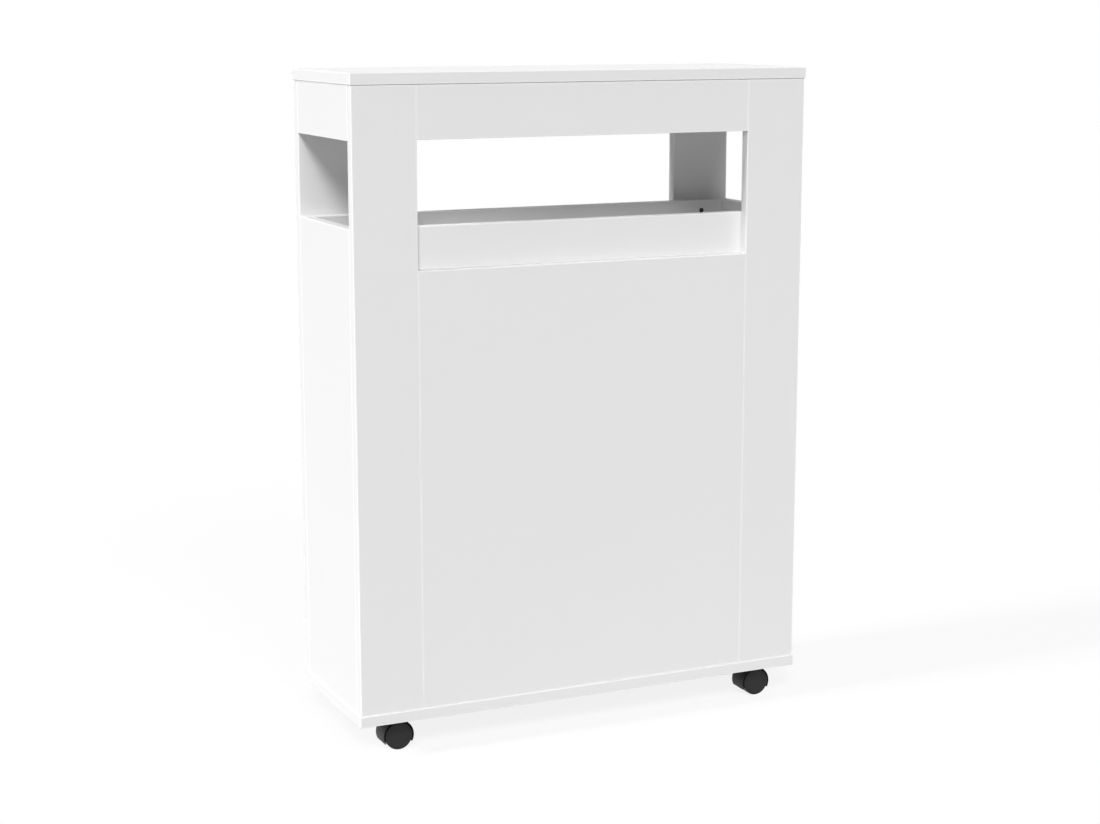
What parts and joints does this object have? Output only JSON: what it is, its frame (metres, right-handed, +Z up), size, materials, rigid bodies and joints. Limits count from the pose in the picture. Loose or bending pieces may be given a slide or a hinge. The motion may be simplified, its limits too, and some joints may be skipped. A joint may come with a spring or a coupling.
{
  "type": "rolling bathroom cabinet",
  "caption": "Slim white board cabinet on swivel casters: railed tray behind open windows under the top, shelves open to one long side.",
  "frame": {"origin": "middle of the footprint on the floor under the wheels", "axes": "+X along the long side, to the right seen from the closed face; +Y from the closed long face to the open one; +Z up"},
  "size_m": [0.66, 0.23, 0.9],
  "materials": {
    "white_laminate": "matte white laminate on board",
    "beech": "raw beech",
    "zinc": "zinc plated",
    "steel": "bright steel",
    "black_screw": "black phosphate",
    "black_plastic": "fine grained moulding",
    "black_tread": "smooth moulding"
  },
  "bodies": {
    "case": {"top_board": "white_laminate", "bottom_board": "white_laminate", "front_left_stile": "white_laminate", "front_right_stile": "white_laminate", "rear_left_stile": "white_laminate", "rear_right_stile": "white_laminate", "front_top_rail": "white_laminate", "rear_top_rail": "white_laminate", "front_panel": "white_laminate", "left_end_panel": "white_laminate", "right_end_panel": "white_laminate", "left_end_rail": "white_laminate", "right_end_rail": "white_laminate", "tray_floor": "white_laminate", "middle_shelf": "white_laminate", "front_tray_strip": "white_laminate", "rear_tray_strip": "white_laminate", "middle_shelf_lip": "white_laminate", "bottom_shelf_lip": "white_laminate", "cam_discs": "zinc", "cam_bolts": "zinc", "dowels": "beech", "strip_screws": "black_screw", "caster_screws": "zinc", "front_left_caster_plate": "zinc", "front_left_caster_pin": "steel", "front_left_caster_washer": "black_plastic", "front_right_caster_plate": "zinc", "front_right_caster_pin": "steel", "front_right_caster_washer": "black_plastic", "rear_left_caster_plate": "zinc", "rear_left_caster_pin": "steel", "rear_left_caster_washer": "black_plastic", "rear_right_caster_plate": "zinc", "rear_right_caster_pin": "steel", "rear_right_caster_washer": "black_plastic"},
    "front_left_swivel": {"front_left_caster_hood": "black_plastic", "front_left_caster_axle": "steel"},
    "front_left_front_wheel": {"front_left_caster_front_wheel": "black_tread"},
    "front_left_rear_wheel": {"front_left_caster_rear_wheel": "black_tread"},
    "front_right_swivel": {"front_right_caster_hood": "black_plastic", "front_right_caster_axle": "steel"},
    "front_right_front_wheel": {"front_right_caster_front_wheel": "black_tread"},
    "front_right_rear_wheel": {"front_right_caster_rear_wheel": "black_tread"},
    "rear_left_swivel": {"rear_left_caster_hood": "black_plastic", "rear_left_caster_axle": "steel"},
    "rear_left_front_wheel": {"rear_left_caster_front_wheel": "black_tread"},
    "rear_left_rear_wheel": {"rear_left_caster_rear_wheel": "black_tread"},
    "rear_right_swivel": {"rear_right_caster_hood": "black_plastic", "rear_right_caster_axle": "steel"},
    "rear_right_front_wheel": {"rear_right_caster_front_wheel": "black_tread"},
    "rear_right_rear_wheel": {"rear_right_caster_rear_wheel": "black_tread"}
  },
  "joints": [
    {"name": "front_left_swivel_turn", "type": "hinge", "parent": "case", "child": "front_left_swivel", "pos_m": [-0.276, -0.0695, 0.046], "axis": [0, 0, 1], "continuous": true},
    {"name": "front_left_front_wheel_spin", "type": "hinge", "parent": "front_left_swivel", "child": "front_left_front_wheel", "pos_m": [-0.2656, -0.0695, 0.019], "axis": [0, 1, 0], "continuous": true},
    {"name": "front_left_rear_wheel_spin", "type": "hinge", "parent": "front_left_swivel", "child": "front_left_rear_wheel", "pos_m": [-0.2656, -0.0695, 0.019], "axis": [0, 1, 0], "continuous": true},
    {"name": "front_right_swivel_turn", "type": "hinge", "parent": "case", "child": "front_right_swivel", "pos_m": [0.276, -0.0695, 0.046], "axis": [0, 0, 1], "continuous": true},
    {"name": "front_right_front_wheel_spin", "type": "hinge", "parent": "front_right_swivel", "child": "front_right_front_wheel", "pos_m": [0.2864, -0.0695, 0.019], "axis": [0, 1, 0], "continuous": true},
    {"name": "front_right_rear_wheel_spin", "type": "hinge", "parent": "front_right_swivel", "child": "front_right_rear_wheel", "pos_m": [0.2864, -0.0695, 0.019], "axis": [0, 1, 0], "continuous": true},
    {"name": "rear_left_swivel_turn", "type": "hinge", "parent": "case", "child": "rear_left_swivel", "pos_m": [-0.276, 0.0695, 0.046], "axis": [0, 0, 1], "continuous": true},
    {"name": "rear_left_front_wheel_spin", "type": "hinge", "parent": "rear_left_swivel", "child": "rear_left_front_wheel", "pos_m": [-0.2656, 0.0695, 0.019], "axis": [0, 1, 0], "continuous": true},
    {"name": "rear_left_rear_wheel_spin", "type": "hinge", "parent": "rear_left_swivel", "child": "rear_left_rear_wheel", "pos_m": [-0.2656, 0.0695, 0.019], "axis": [0, 1, 0], "continuous": true},
    {"name": "rear_right_swivel_turn", "type": "hinge", "parent": "case", "child": "rear_right_swivel", "pos_m": [0.276, 0.0695, 0.046], "axis": [0, 0, 1], "continuous": true},
    {"name": "rear_right_front_wheel_spin", "type": "hinge", "parent": "rear_right_swivel", "child": "rear_right_front_wheel", "pos_m": [0.2864, 0.0695, 0.019], "axis": [0, 1, 0], "continuous": true},
    {"name": "rear_right_rear_wheel_spin", "type": "hinge", "parent": "rear_right_swivel", "child": "rear_right_rear_wheel", "pos_m": [0.2864, 0.0695, 0.019], "axis": [0, 1, 0], "continuous": true}
  ]
}
